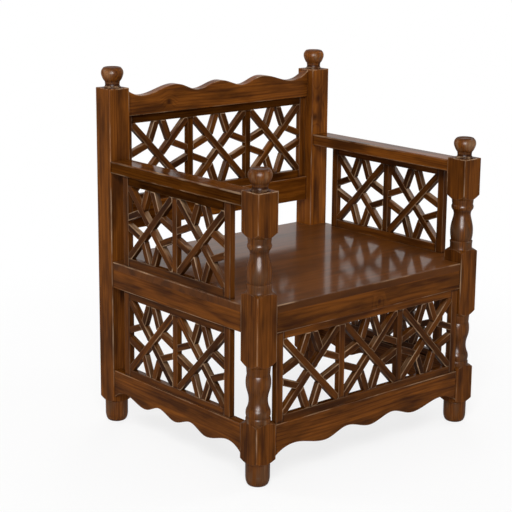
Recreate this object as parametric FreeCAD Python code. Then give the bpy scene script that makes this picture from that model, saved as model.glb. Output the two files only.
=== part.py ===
import FreeCAD, Part
import math
import os

# All lengths are millimetres. X is the width, Y the depth with the front at minus Y, Z is up.
# The origin is on the floor in the middle between the four posts.

# Plan of the chair
overall_width = 722.0
overall_depth = 610.0
post_side = 58.0
post_edge_round = 1.5

# Heights along a front post, from the floor up
foot_height = 54.0
foot_shoulder = 9.0
lower_block_height = 94.0
lower_turning_height = 144.0
middle_block_height = 158.0
upper_turning_height = 138.0
upper_block_height = 94.0
knob_height = 50.0

# Shoulders between the square blocks and the round stretches
shoulder_rise = 3.0
shoulder_drop = 10.0
shoulder_slope = 3.5

# Seat: a board on four rails, each a little inside the posts' outer faces
seat_below_block_top = 27.0
seat_board_thickness = 18.0
seat_edge_round = 2.0
seat_rail_height = 47.0
rail_thickness = 25.0
rail_setback = 2.0

# Aprons: depth of the board below its straight top edge, at the ends and along the wave
apron_below_block_top = 5.0
apron_end_depth = 71.5
apron_broad_crest_depth = 53.0
apron_low_depth = 67.5
apron_sharp_crest_depth = 50.5
apron_middle_depth = 66.5
front_apron_extra_depth = 4.5

# Arms, set in the upper blocks of the front posts
arm_above_block_bottom = 57.5
arm_height = 29.5
arm_inset = 4.0
arm_edge_round = 3.0

# Back: lower rail, panel and wavy upper rail, measured up from the seat
back_rail_setback = 14.5
back_gap = 70.0
back_lower_rail_height = 64.0
back_panel_height = 220.0
crown_end_height = 71.0
crown_outer_valley_height = 49.0
crown_crest_height = 66.5
crown_inner_valley_height = 50.0
post_above_crown = 2.0

# Tenons, hidden inside the posts
tenon_length = 25.0
tenon_thickness = 10.0
tenon_shoulder = 8.0
tenon_end_clearance = 2.0
arm_tenon_width = 30.0
arm_tenon_height = 12.0

# Pierced panels
panel_thickness = 15.0
seat_panel_setback = 3.0
stile_width = 20.0
mullion_width = 17.0
lower_strip_height = 17.5
upper_strip_height = 21.25
back_strip_height = 20.0
gap_beside_side_panel = 43.5
gap_beside_wide_panel = 3.5
slat_width = 16.5
bar_end_across = 10.0
bar_end_up = 12.0

# Where the turning points of the wavy edges lie, as shares of half the board's length
apron_wave_places = (0.257, 0.45, 0.762)
crown_wave_places = (0.26, 0.43, 0.765)

# Where the short bars leave a diagonal, as a share of the way from the middle to the corner
knot_share = 0.375

# Turned outlines, as stretches of (radius, height) pairs. Radii are shares of half the post's side
# and heights are shares of the stretch of post that the outline fills.
foot_outline = [
    [(0.690, 0.0), (0.903, 0.074), (0.983, 0.259)],
    [(0.983, 0.259), (0.983, 1.0)],
]
lower_outline = [
    [(0.997, 0.0), (0.997, 0.065)],
    [(0.997, 0.065), (0.931, 0.092)],
    [(0.931, 0.092), (0.986, 0.172), (0.924, 0.241)],
    [(0.924, 0.241), (0.800, 0.318), (0.759, 0.402), (0.828, 0.517), (0.952, 0.617),
     (0.997, 0.709), (0.976, 0.793), (0.917, 0.854)],
    [(0.917, 0.854), (0.966, 1.0)],
]
upper_outline = [
    [(0.966, 0.0), (0.945, 0.060), (0.979, 0.153)],
    [(0.979, 0.153), (0.883, 0.173)],
    [(0.883, 0.173), (0.955, 0.269), (0.976, 0.373), (0.917, 0.494), (0.793, 0.614),
     (0.734, 0.707), (0.841, 0.787)],
    [(0.841, 0.787), (0.952, 0.843), (0.890, 0.900)],
    [(0.890, 0.900), (0.938, 1.0)],
]
knob_outline = [
    [(0.724, 0.0), (0.724, 0.04)],
    [(0.724, 0.04), (0.621, 0.09), (0.610, 0.20), (0.666, 0.34), (0.800, 0.49),
     (0.928, 0.62), (0.945, 0.72), (0.883, 0.84), (0.707, 0.95)],
    [(0.707, 0.95), (0.638, 0.98), (0.517, 1.0)],
]

# Places that follow from the sizes above
half_width = overall_width / 2
half_depth = overall_depth / 2
half_side = post_side / 2
post_x = half_width - half_side
post_y = half_depth - half_side
inner_x = half_width - post_side
inner_y = half_depth - post_side
rail_outer_x = half_width - rail_setback
rail_outer_y = half_depth - rail_setback

lower_block = (foot_height, foot_height + lower_block_height)
middle_block_bottom = lower_block[1] + lower_turning_height
middle_block = (middle_block_bottom, middle_block_bottom + middle_block_height)
upper_block_bottom = middle_block[1] + upper_turning_height
upper_block = (upper_block_bottom, upper_block_bottom + upper_block_height)
front_post_height = upper_block[1] + knob_height

apron_top = lower_block[1] - apron_below_block_top
seat_top = middle_block[1] - seat_below_block_top
seat_board_bottom = seat_top - seat_board_thickness
seat_rail_bottom = seat_board_bottom - seat_rail_height
arm_bottom = upper_block[0] + arm_above_block_bottom
arm_top = arm_bottom + arm_height
back_lower_bottom = seat_top + back_gap
back_lower_top = back_lower_bottom + back_lower_rail_height
crown_bottom = back_lower_top + back_panel_height
rear_block_top = crown_bottom + crown_end_height + post_above_crown
rear_post_height = rear_block_top + knob_height

seat_rail_levels = (seat_rail_bottom, seat_board_bottom)
apron_levels = (apron_top - apron_end_depth, apron_top)
back_lower_levels = (back_lower_bottom, back_lower_top)
crown_levels = (crown_bottom, crown_bottom + crown_end_height)
front_rail_depth = (-rail_outer_y, -rail_outer_y + rail_thickness)
rear_rail_depth = (rail_outer_y - rail_thickness, rail_outer_y)
back_rail_rear = half_depth - back_rail_setback
back_rail_depth = (back_rail_rear - rail_thickness, back_rail_rear)
side_rail_span = (rail_outer_x - rail_thickness, rail_outer_x)
arm_span = (inner_x + arm_inset, half_width)


def vector(x, y, z):
    return FreeCAD.Vector(x, y, z)


def box_between(x_limits, y_limits, z_limits):
    """Upright box between the given pairs of limits."""
    low = vector(x_limits[0], y_limits[0], z_limits[0])
    size = vector(x_limits[1], y_limits[1], z_limits[1]) - low
    return Part.makeBox(size.x, size.y, size.z, low)


def middle_of(limits, size):
    """Limits of a stretch of the given size in the middle between two limits."""
    centre = (limits[0] + limits[1]) / 2
    return centre - size / 2, centre + size / 2


def moved(shape, x, y, z):
    """Copy of a shape, moved."""
    copy = shape.copy()
    copy.translate(vector(x, y, z))
    return copy


def mirrored(shape):
    """The same piece on the other side of the chair."""
    return shape.mirror(vector(0, 0, 0), vector(1, 0, 0))


def save(name, shape):
    """Write one piece to its own file."""
    shape.exportStep("parts/" + name + ".step")


def edge_through(points):
    """Line through two points, arc through three, smooth curve through more."""
    if len(points) == 2:
        return Part.LineSegment(points[0], points[1]).toShape()
    if len(points) == 3:
        return Part.Arc(points[0], points[1], points[2]).toShape()
    curve = Part.BSplineCurve()
    curve.interpolate(points)
    return curve.toShape()


def placed(outline, low, high):
    """Outline given in shares, turned into radii and heights between low and high."""
    return [
        [(radius * half_side, low + height * (high - low)) for radius, height in stretch]
        for stretch in outline
    ]


def post_outline(blocks, turnings):
    """Outline of a whole post: foot, square blocks with turned stretches between them, knob."""
    corner = post_side / math.sqrt(2.0)
    stretches = placed(foot_outline, 0.0, foot_height)
    start = foot_height + foot_shoulder
    for index, turning in enumerate(turnings):
        block_end = blocks[index][1]
        next_block = blocks[index + 1][0]
        stretches.append([stretches[-1][-1], (corner, start)])
        stretches.append([(corner, start), (corner, block_end - shoulder_slope)])
        above = placed(turning, block_end + shoulder_slope, next_block - shoulder_drop)
        stretches.append([(corner, block_end - shoulder_slope), above[0][0]])
        stretches += above
        start = next_block + shoulder_rise
    top = blocks[-1][1]
    knob = placed(knob_outline, top, top + knob_height)
    stretches.append([stretches[-1][-1], (corner, start)])
    stretches.append([(corner, start), (corner, top)])
    stretches.append([(corner, top), knob[0][0]])
    return stretches + knob


def turned(stretches):
    """Solid of revolution about the Z axis; each stretch starts where the last one ended."""
    edges = []
    for stretch in stretches:
        edges.append(edge_through([vector(radius, 0, height) for radius, height in stretch]))
    first_radius, first_height = stretches[0][0]
    last_radius, last_height = stretches[-1][-1]
    bottom = vector(0, 0, first_height)
    top = vector(0, 0, last_height)
    edges.append(Part.LineSegment(vector(last_radius, 0, last_height), top).toShape())
    edges.append(Part.LineSegment(top, bottom).toShape())
    edges.append(Part.LineSegment(bottom, vector(first_radius, 0, first_height)).toShape())
    face = Part.Face(Part.Wire(Part.__sortEdges__(edges)))
    return face.revolve(vector(0, 0, 0), vector(0, 0, 1), 360)


def post_blank(stretches, height):
    """Turned outline trimmed to the square timber, standing on the Z axis, with no mortises."""
    side = (-half_side, half_side)
    timber = box_between(side, side, (0, height))
    upright = [edge for edge in timber.Edges if abs(edge.Length - height) < 0.01]
    return turned(stretches).common(timber.makeFillet(post_edge_round, upright))


def ends_across(y_limits, z_limits, extra):
    """Boxes that enter the left and the right posts, longer than the tenon by extra."""
    reach = inner_x + tenon_length + extra
    right = box_between((inner_x, reach), y_limits, z_limits)
    return [right, mirrored(right)]


def ends_along(x_limits, z_limits, extra):
    """Boxes that enter a front and a rear post, longer than the tenon by extra."""
    reach = inner_y + tenon_length + extra
    front = box_between(x_limits, (-reach, -inner_y), z_limits)
    rear = box_between(x_limits, (inner_y, reach), z_limits)
    return [front, rear]


def wavy_board(half_length, wave, straight):
    """Board in the XZ plane between a wavy edge and a straight edge, as thick as a rail.

    The wave is a smooth curve through (place, height) pairs, places being shares of half_length.
    """
    right = [vector(place * half_length, 0, height) for place, height in wave]
    left = [vector(-point.x, 0, point.z) for point in reversed(right[1:])]
    curve = Part.BSplineCurve()
    curve.interpolate(left + right)
    far_left = vector(-half_length, 0, straight)
    far_right = vector(half_length, 0, straight)
    edges = [curve.toShape()]
    edges.append(Part.LineSegment(right[-1], far_right).toShape())
    edges.append(Part.LineSegment(far_right, far_left).toShape())
    edges.append(Part.LineSegment(far_left, left[0]).toShape())
    face = Part.Face(Part.Wire(Part.__sortEdges__(edges)))
    return face.extrude(vector(0, rail_thickness, 0))


def apron_board(half_length, extra_depth=0.0):
    """Apron with its wavy edge below."""
    depths = (apron_middle_depth, apron_sharp_crest_depth, apron_low_depth,
              apron_broad_crest_depth, apron_end_depth)
    places = (0.0,) + apron_wave_places + (1.0,)
    wave = [(place, apron_top - depth - extra_depth) for place, depth in zip(places, depths)]
    return wavy_board(half_length, wave, apron_top)


def crown_board():
    """Upper back rail with its wavy edge above."""
    heights = (crown_crest_height, crown_inner_valley_height, crown_crest_height,
               crown_outer_valley_height, crown_end_height)
    places = (0.0,) + crown_wave_places + (1.0,)
    wave = [(place, crown_bottom + height) for place, height in zip(places, heights)]
    return wavy_board(inner_x, wave, crown_bottom)


def slat(start, end):
    """Straight slat in the XZ plane from start to end, centred on Y zero."""
    length = math.hypot(end[0] - start[0], end[1] - start[1])
    angle = math.degrees(math.atan2(end[1] - start[1], end[0] - start[0]))
    thick = (-panel_thickness / 2, panel_thickness / 2)
    bar = box_between((0, length), thick, (-slat_width / 2, slat_width / 2))
    bar.rotate(vector(0, 0, 0), vector(0, 1, 0), -angle)
    return moved(bar, start[0], 0, start[1])


def lattice_square(opening_width, opening_height):
    """Slats of one opening, centred on the origin: two diagonals and eight short bars."""
    half_w = opening_width / 2
    half_h = opening_height / 2
    half_t = panel_thickness / 2
    opening = box_between((-half_w, half_w), (-half_t, half_t), (-half_h, half_h))
    beyond = 1.3
    far_w = beyond * half_w
    far_h = beyond * half_h
    falling = slat((-far_w, far_h), (far_w, -far_h)).common(opening)
    rising = slat((-far_w, -far_h), (far_w, far_h)).common(opening).cut(falling)
    solids = falling.Solids + rising.Solids
    diagonals = falling.fuse(rising)
    for side in (-1, 1):
        for level in (-1, 1):
            knot = (side * knot_share * half_w, level * knot_share * half_h)
            end_above = (side * bar_end_across, level * half_h)
            end_beside = (side * half_w, level * bar_end_up)
            for end in (end_above, end_beside):
                far = (knot[0] + beyond * (end[0] - knot[0]), knot[1] + beyond * (end[1] - knot[1]))
                solids += slat(knot, far).common(opening).cut(diagonals).Solids
    return solids


def save_panel(name, squares, length, levels, strip, end_names, place):
    """Write the stiles, strips, mullions and slats of one pierced panel.

    The panel is drawn in the XZ plane with its middle at X zero; place moves a piece to its spot.
    """
    thick = (-panel_thickness / 2, panel_thickness / 2)
    low, high = levels
    half_inside = length / 2 - stile_width
    opening_width = (2 * half_inside - (squares - 1) * mullion_width) / squares
    opening = (low + strip, high - strip)
    stile = box_between((half_inside, length / 2), thick, levels)
    save(name + "_stile_" + end_names[0], place(mirrored(stile)))
    save(name + "_stile_" + end_names[1], place(stile))
    inside = (-half_inside, half_inside)
    save(name + "_strip_bottom", place(box_between(inside, thick, (low, opening[0]))))
    save(name + "_strip_top", place(box_between(inside, thick, (opening[1], high))))
    square = lattice_square(opening_width, opening[1] - opening[0])
    pitch = opening_width + mullion_width
    slats = []
    for index in range(squares):
        centre = (index - (squares - 1) / 2) * pitch
        slats += [moved(solid, centre, 0, (low + high) / 2) for solid in square]
        if index > 0:
            left = centre - pitch / 2 - mullion_width / 2
            label = "_mullion" if squares == 2 else "_mullion_" + end_names[index - 1]
            save(name + label, place(box_between((left, left + mullion_width), thick, opening)))
    save(name + "_slats", place(Part.makeCompound(slats)))


def place_across(y):
    """Move for panels that stand across the chair with their middle at the given Y."""
    return lambda shape: moved(shape, 0, y, 0)


def place_along(x):
    """Turn and move for panels that stand along the sides with their middle at the given X."""
    def turn_and_move(shape):
        turned_shape = shape.copy()
        turned_shape.rotate(vector(0, 0, 0), vector(0, 0, 1), 90)
        return moved(turned_shape, x, 0, 0)
    return turn_and_move


def tenon_levels(levels):
    """Heights of a tenon, a shoulder inside the board's own edges."""
    return levels[0] + tenon_shoulder, levels[1] - tenon_shoulder


os.makedirs("parts", exist_ok=True)
mortises = []

# Rails across the chair
plain_across = (-inner_x, inner_x)
front_apron = moved(apron_board(inner_x, front_apron_extra_depth), 0, front_rail_depth[0], 0)
crown = moved(crown_board(), 0, back_rail_depth[0], 0)
front_rail = box_between(plain_across, front_rail_depth, seat_rail_levels)
rear_rail = box_between(plain_across, rear_rail_depth, seat_rail_levels)
back_lower_rail = box_between(plain_across, back_rail_depth, back_lower_levels)
boards_across = [
    ("seat_rail_front", front_rail, front_rail_depth, seat_rail_levels),
    ("seat_rail_rear", rear_rail, rear_rail_depth, seat_rail_levels),
    ("apron_front", front_apron, front_rail_depth, apron_levels),
    ("back_rail_lower", back_lower_rail, back_rail_depth, back_lower_levels),
    ("back_rail_upper", crown, back_rail_depth, crown_levels),
]
for name, board, depth, levels in boards_across:
    y_limits = middle_of(depth, tenon_thickness)
    z_limits = tenon_levels(levels)
    save(name, board.multiFuse(ends_across(y_limits, z_limits, 0)).removeSplitter())
    mortises += ends_across(y_limits, z_limits, tenon_end_clearance)

# Rails, aprons and arms along the right side; the left ones are their mirror images
plain_along = (-inner_y, inner_y)
side_apron = apron_board(inner_y)
side_apron.rotate(vector(0, 0, 0), vector(0, 0, 1), 90)
side_apron = moved(side_apron, rail_outer_x, 0, 0)
side_rail = box_between(side_rail_span, plain_along, seat_rail_levels)
arm = box_between(arm_span, plain_along, (arm_bottom, arm_top))
long_edges = [edge for edge in arm.Edges if abs(edge.Length - 2 * inner_y) < 0.01]
arm = arm.makeFillet(arm_edge_round, long_edges)
rail_tenon = middle_of(side_rail_span, tenon_thickness)
arm_tenon = middle_of(arm_span, arm_tenon_width)
arm_tenon_levels = middle_of((arm_bottom, arm_top), arm_tenon_height)
boards_along = [
    ("seat_rail", side_rail, rail_tenon, tenon_levels(seat_rail_levels)),
    ("apron", side_apron, rail_tenon, tenon_levels(apron_levels)),
    ("arm", arm, arm_tenon, arm_tenon_levels),
]
for name, board, x_limits, z_limits in boards_along:
    right = board.multiFuse(ends_along(x_limits, z_limits, 0)).removeSplitter()
    save(name + "_right", right)
    save(name + "_left", mirrored(right))
    holes = ends_along(x_limits, z_limits, tenon_end_clearance)
    mortises += holes + [mirrored(hole) for hole in holes]

# Posts, cut out for the tenons that enter them
front_outline = post_outline([lower_block, middle_block, upper_block], [lower_outline, upper_outline])
rear_outline = post_outline([(foot_height, rear_block_top)], [])
front_blank = post_blank(front_outline, front_post_height)
rear_blank = post_blank(rear_outline, rear_post_height)
for label, blank, y in (("front", front_blank, -post_y), ("rear", rear_blank, post_y)):
    for side, x in (("left", -post_x), ("right", post_x)):
        post = moved(blank, x, y, 0)
        near = [hole for hole in mortises if hole.BoundBox.intersect(post.BoundBox)]
        save("post_" + label + "_" + side, post.cut(near))

# Seat board, lying on the four seat rails and notched round the posts
board_levels = (seat_board_bottom, seat_top)
board = box_between((-rail_outer_x, rail_outer_x), (-rail_outer_y, rail_outer_y), board_levels)
for x_limits in ((-half_width, -inner_x), (inner_x, half_width)):
    for y_limits in ((-half_depth, -inner_y), (inner_y, half_depth)):
        board = board.cut(box_between(x_limits, y_limits, board_levels))
outer_edges = []
for edge in board.Edges:
    box = edge.BoundBox
    on_top = box.ZMin > seat_top - 0.01
    on_front = box.YMax < -rail_outer_y + 0.01
    on_side = box.XMin > rail_outer_x - 0.01 or box.XMax < -rail_outer_x + 0.01
    if on_top and (on_front or on_side):
        outer_edges.append(edge)
save("seat_board", board.makeFillet(seat_edge_round, outer_edges))

# Pierced panels
wide_length = 2 * (inner_x - gap_beside_wide_panel)
side_length = 2 * (inner_y - gap_beside_side_panel)
lower_levels = (apron_top, seat_rail_bottom)
upper_levels = (seat_top, arm_bottom)
back_levels = (back_lower_top, crown_bottom)
half_panel = panel_thickness / 2
at_front = place_across(-rail_outer_y + seat_panel_setback + half_panel)
at_back = place_across((back_rail_depth[0] + back_rail_depth[1]) / 2)
side_middle = rail_outer_x - seat_panel_setback - half_panel
across_ends = ("left", "right")
along_ends = ("front", "rear")
save_panel("front_panel", 3, wide_length, lower_levels, lower_strip_height, across_ends, at_front)
save_panel("back_panel", 3, wide_length, back_levels, back_strip_height, across_ends, at_back)
for side, x in (("left", -side_middle), ("right", side_middle)):
    beside = place_along(x)
    lower = side + "_lower_panel"
    upper = side + "_upper_panel"
    save_panel(lower, 2, side_length, lower_levels, lower_strip_height, along_ends, beside)
    save_panel(upper, 2, side_length, upper_levels, upper_strip_height, along_ends, beside)
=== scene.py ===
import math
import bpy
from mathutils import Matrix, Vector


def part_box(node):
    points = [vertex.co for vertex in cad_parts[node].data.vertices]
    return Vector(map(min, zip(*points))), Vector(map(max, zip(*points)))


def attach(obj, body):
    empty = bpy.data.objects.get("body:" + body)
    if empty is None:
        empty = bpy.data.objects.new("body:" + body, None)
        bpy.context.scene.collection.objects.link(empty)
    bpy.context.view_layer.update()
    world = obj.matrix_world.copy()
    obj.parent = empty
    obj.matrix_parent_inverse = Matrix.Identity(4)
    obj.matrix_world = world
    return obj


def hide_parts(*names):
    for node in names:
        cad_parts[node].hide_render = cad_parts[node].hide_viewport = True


bl_info = {
    "name": "Lattice Armchair",
    "version": (1, 0, 0),
    "blender": (4, 5, 0),
    "location": "View3D > Sidebar > Armchair",
    "description": "Dresses the armchair's frame in stained and lacquered pine",
    "category": "Add Mesh",
}

import zlib

import bpy
import numpy as np
from bpy.props import FloatProperty, FloatVectorProperty, PointerProperty
from mathutils import Matrix, Vector

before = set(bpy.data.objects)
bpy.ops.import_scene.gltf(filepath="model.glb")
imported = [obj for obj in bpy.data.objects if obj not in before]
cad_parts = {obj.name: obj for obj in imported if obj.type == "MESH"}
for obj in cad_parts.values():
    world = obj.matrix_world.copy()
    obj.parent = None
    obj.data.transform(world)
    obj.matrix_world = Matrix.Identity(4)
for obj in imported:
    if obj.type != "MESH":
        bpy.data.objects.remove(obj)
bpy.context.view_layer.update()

# Places that the frame gives, in metres
BOXES = {name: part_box(name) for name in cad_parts}
POST = BOXES["post_front_left"]
HALF_SIDE = (POST[1].x - POST[0].x) / 2
INNER_X = -POST[1].x
INNER_Y = -POST[1].y

# Turned outlines of the posts, in stretches of (radius, height) pairs. A radius is a share of half the
# post's side, and a height is a share of the stretch of post that the outline fills.
FOOT = [
    [(0.640, 0.0), (0.800, 0.045), (0.905, 0.150), (0.965, 0.300), (0.975, 0.450)],
    [(0.975, 0.450), (0.983, 1.0)],
]
LOWER_TURNING = [
    [(0.997, 0.0), (0.997, 0.065)],
    [(0.997, 0.065), (0.931, 0.092)],
    [(0.931, 0.092), (0.986, 0.172), (0.924, 0.241)],
    [(0.924, 0.241), (0.800, 0.318), (0.759, 0.402), (0.828, 0.517), (0.952, 0.617),
     (0.997, 0.709), (0.976, 0.793), (0.917, 0.854)],
    [(0.917, 0.854), (0.966, 1.0)],
]
UPPER_TURNING = [
    [(0.966, 0.0), (0.945, 0.060), (0.979, 0.153)],
    [(0.979, 0.153), (0.883, 0.173)],
    [(0.883, 0.173), (0.955, 0.269), (0.976, 0.373), (0.917, 0.494), (0.793, 0.614),
     (0.734, 0.707), (0.841, 0.787)],
    [(0.841, 0.787), (0.952, 0.843), (0.890, 0.900)],
    [(0.890, 0.900), (0.938, 1.0)],
]
KNOB = [
    [(0.724, 0.0), (0.724, 0.04)],
    [(0.724, 0.04), (0.628, 0.10), (0.612, 0.19), (0.640, 0.31)],
    [(0.640, 0.31), (0.720, 0.36), (0.800, 0.44), (0.880, 0.55), (0.936, 0.67), (0.938, 0.76),
     (0.880, 0.87), (0.770, 0.955)],
    [(0.770, 0.955), (0.710, 0.99), (0.630, 1.0)],
    [(0.630, 1.0), (0.580, 0.99), (0.520, 0.965), (0.440, 0.95)],
]

# Heights along the posts, in metres
FOOT_HEIGHT = 0.054
FOOT_SHOULDER = 0.009
KNOB_HEIGHT = 0.050
FRONT_BLOCKS = [(0.054, 0.148), (0.292, 0.450), (0.588, 0.682)]
REAR_BLOCKS = [(0.054, 0.850)]
SHOULDER_RISE = 0.003
SHOULDER_DROP = 0.010
SHOULDER_SLOPE = 0.0035

# Steps from row to row of a post, where it is straight, on its shoulders, where it is turned, and on the
# knob, and the width over which the crease between square and turned wood is eased
STRAIGHT_STEP = 0.04
SHOULDER_STEP = 0.0007
TURNED_STEP = 0.0013
KNOB_STEP = 0.0012
CREASE_EASE = 0.0008

# Looks of the turned wood, on the knobs and then below them: how much its crests are rubbed and lit with a
# painted highlight, its tone, and how glossy its crests and its upward faces are
TURNED_LOOKS = {"rub_and_sheen": (0.45, 0.1), "tone": (1.1, 0.86), "shine": (0.3, 0.45), "shine_up": (0.8, 0.45)}

# Painted shade in turned hollows, and stain in the dish on top of a knob: how far off a crest still counts,
# how far below it the hollow is full, how dark a full hollow is painted, and how much stain the dish holds
CREST_REACH = 0.010
HOLLOW_DEPTH = 0.009
HOLLOW_SHADE = 0.7
DISH_STAIN = 0.5

# Wavy edges: where they turn, as shares of half the length from the middle outwards, and how far the
# turning points lie from the board's straight edge. The front apron is a little deeper all along.
APRON_PLACES = (0.0, 0.257, 0.45, 0.762, 1.0)
APRON_DEPTHS = (0.0665, 0.0505, 0.0675, 0.053, 0.0715)
FRONT_APRON_EXTRA = 0.0045
CROWN_PLACES = (0.0, 0.26, 0.43, 0.765, 1.0)
CROWN_HEIGHTS = (0.0665, 0.050, 0.0665, 0.049, 0.071)

# A board that stands across the chair fits between a left and a right post, and one that stands along it
# between a front and a rear one. The ends reach a little way into the posts.
VIEWS = {"front": "across", "rear": "across", "left": "along", "right": "along"}
HALF_LENGTHS = {"across": INNER_X, "along": INNER_Y}
END_REACH = 0.001

# Share of its rounding that an edge keeps where the seat lies on it
FLUSH_EASE = 0.12

# Uprights of a panel in either view, and each panel with its view, the tone of its slats, darker partly
# with stain and partly as painted shade of the recessed panel, and how much painted sheen their upward
# sides get in the rubbed-edge colour
UPRIGHTS = {
    "across": ("_stile_left", "_stile_right", "_mullion_left", "_mullion_right"),
    "along": ("_stile_front", "_stile_rear", "_mullion"),
}
PANELS = {
    "front_panel": ("across", 0.70, 0.3),
    "back_panel": ("across", 0.86, 0.8),
    "left_lower_panel": ("along", 0.76, 0.8),
    "right_lower_panel": ("along", 0.72, 0.8),
    "left_upper_panel": ("along", 0.64, 0.8),
    "right_upper_panel": ("along", 0.66, 0.8),
}

# Short bars of a lattice square. They leave the diagonals at this share of the way to the corner, and end
# at the sides of the opening this far from its middle lines.
BAR_START = 0.375
BAR_END_ACROSS = 0.010
BAR_END_UP = 0.012

# A slat's rubbed strip as a share of a board's, which carries a painted highlight too, and how much paler
# its upward sides are drawn, as painted light
SLAT_STRIP = 0.8
SLAT_UPWARD_PAINTED_LIGHT = 0.4

# Roundings that hardly show: an arm's ends, and the seat board's lower edge and its upright corners
ARM_END_EDGE = 0.0004
SEAT_LOWER_EDGE = 0.0003
SEAT_CORNER = 0.001

# Knots that the photograph shows: middle, and half length along the grain, in metres
KNOTS = [
    ((-0.168, 0.2655, 0.803), 0.011),
    ((0.326, 0.247, 0.772), 0.017),
    ((0.314, 0.247, 0.722), 0.013),
    ((0.020, -0.303, 0.375), 0.010),
]

# Tones: how pale each board is drawn, matched to the photograph. This is partly its stain and partly
# painted light and shade: the rear posts and the back rails are made paler against the lamps' falloff, and
# the strips under the arm and the crown darker as painted shade. The rest differ by chance.
TONES = {
    "post_rear_left": 1.35, "post_rear_right": 1.59, "post_front_left": 1.08, "post_front_right": 1.16,
    "seat_rail_front": 0.99, "seat_rail_left": 1.22, "seat_board": 0.88,
    "apron_front": 1.19, "apron_left": 1.25, "arm_left": 1.00, "arm_right": 1.32,
    "back_rail_upper": 1.48, "back_rail_lower": 1.45,
    "back_panel_strip_top": 0.57, "back_panel_mullion_left": 0.80, "back_panel_mullion_right": 0.84,
    "left_upper_panel_strip_top": 0.50, "left_upper_panel_strip_bottom": 0.76,
    "left_upper_panel_mullion": 1.30, "left_lower_panel_mullion": 1.05,
    "left_lower_panel_strip_top": 0.68, "front_panel_strip_top": 1.26, "front_panel_strip_bottom": 0.92,
    "front_panel_mullion_left": 1.20, "front_panel_mullion_right": 0.72,
    "left_lower_panel_stile_front": 1.30, "left_lower_panel_stile_rear": 1.25,
    "left_upper_panel_stile_front": 1.20, "front_panel_stile_left": 1.12,
    "back_panel_stile_right": 1.40, "right_upper_panel_stile_rear": 1.40,
    "right_upper_panel_mullion": 0.80, "right_upper_panel_strip_top": 1.40,
}

# Further factors on the tone: an arm's upright sides, darker on the left arm and paler on the right as
# painted shade and light, a post's front face, paler as painted light, the frames of all panels, darker
# partly with stain and partly as painted shade, the sawn sides of the seat board, drawn darker, and those
# of the slats, darker as painted shade
ARM_SIDES = {"left": 0.66, "right": 1.14}
POST_FRONTS = {"post_rear_right": 1.2, "post_front_left": 1.13}
FRAMING_TONE = 0.85
SEAT_SIDE_TONE = 0.88
SLAT_SIDE_TONE = 0.95

# How much of the usual rubbing and painted highlight the edges of some boards show
WEAR_AND_SHEEN_SHARES = {"apron": 0.6, "arm": 0.7, "back_rail_lower": 0.4, "framing": 0.3}

# Level says how much lacquer a face holds, from 0 where it stands upright to 1 where it lies flat. These
# pieces look dull in the photograph, so their upright faces, those below a limit, are put lower still.
SHADED = ("arm_left", "left_upper_panel_strip_top", "back_panel_strip_top", "back_rail_lower",
          "back_panel_mullion_left", "back_panel_mullion_right", "back_panel_strip_bottom", "seat_board")
SHADED_DROP = 0.6
UPRIGHT_LIMIT = 0.3

# Noise in the wood: how often it changes in a metre along the grain and across it, its detail and its
# roughness. Bends of the rings are 40 cm long and 8 cm across, streaks of stain 6 mm wide, and patches of
# deeper stain 15 cm long and 3 cm wide. Fibres are drawn 1.5 mm wide so that they show.
WOOD_NOISE = {
    "bends": (2.4, 12.0, 2.0, 0.5),
    "streaks": (4.0, 160.0, 3.0, 0.6),
    "fibres": (18.0, 650.0, 2.0, 0.6),
    "patches": (7.0, 34.0, 3.0, 0.55),
    "rub_and_sheen": (14.0, 70.0, 2.0, 0.5),
}

# The seat is seen so flatly that its figure is drawn wider, or it wouldn't show
SEAT_NOISE = {
    **WOOD_NOISE, "streaks": (3.0, 40.0, 3.0, 0.6), "patches": (5.0, 20.0, 3.0, 0.55),
    "rub_and_sheen": (9.0, 12.0, 2.0, 0.5),
}

# Strength of the figure on the frame, and on the seat: how many times wider its rings are, how much rings,
# streaks and patches show, the share of dark wood between them, the lacquer's ripple and the wood's gloss
WOOD_FIGURE = {"widening": 1, "rings": 0.26, "streaks": 0.50, "patches": 0.72, "base": -0.06,
               "ripple": 0.5, "gloss": 0.0}
SEAT_FIGURE = {"widening": 4, "rings": 0.10, "streaks": 0.22, "patches": 0.50, "base": 0.06,
               "ripple": 0.25, "gloss": 0.05}

# Darkness over one growth ring: pale wood that darkens slowly, then a thin dark line
RING_DARKNESS = ((0.0, 0.12), (0.10, 0.0), (0.55, 0.25), (0.82, 1.0), (0.93, 0.9), (1.0, 0.25))

# Soft lamps: place, width, height, watts, whether it lights the surfaces, and whether gloss shows it
LAMPS = {
    "lamp_front_left": ((-4.3, -4.4, 5.4), 3.4, 3.4, 445.0, True, True),
    "lamp_rear_left": ((-2.4, 2.8, 2.6), 1.2, 1.2, 30.0, True, True),
    "lamp_right": ((2.8, -1.2, 3.0), 1.2, 1.2, 24.0, True, True),
    "lamp_above": ((0.3, 0.6, 3.8), 2.4, 2.4, 26.0, True, True),
    "gloss_card": ((-3.9, -4.0, 1.9), 3.6, 2.8, 1900.0, False, True),
    "lamp_rear_right": ((3.6, 3.6, 1.5), 2.4, 2.4, 60.0, True, False),
}
LAMP_AIM = Vector((0.0, 0.0, 0.45))

# Floor: half its side, in metres, and how many lines of points it has each way
FLOOR_HALF = 30.0
FLOOR_LINES = 13

# Camera: width of its sensor in millimetres, side of the photograph, and how far the lens is shifted down,
# both in pixels
SENSOR_WIDTH = 36.0
PHOTO_SIDE = 512.0
SHIFT_DOWN = 26.0


def linear(code):
    """Linear red, green and blue of an sRGB hex colour."""
    share = np.array([int(code[place:place + 2], 16) for place in (1, 3, 5)]) / 255.0
    value = np.where(share <= 0.04045, share / 12.92, ((share + 0.055) / 1.055) ** 2.4)
    return tuple(float(part) for part in value)


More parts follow.
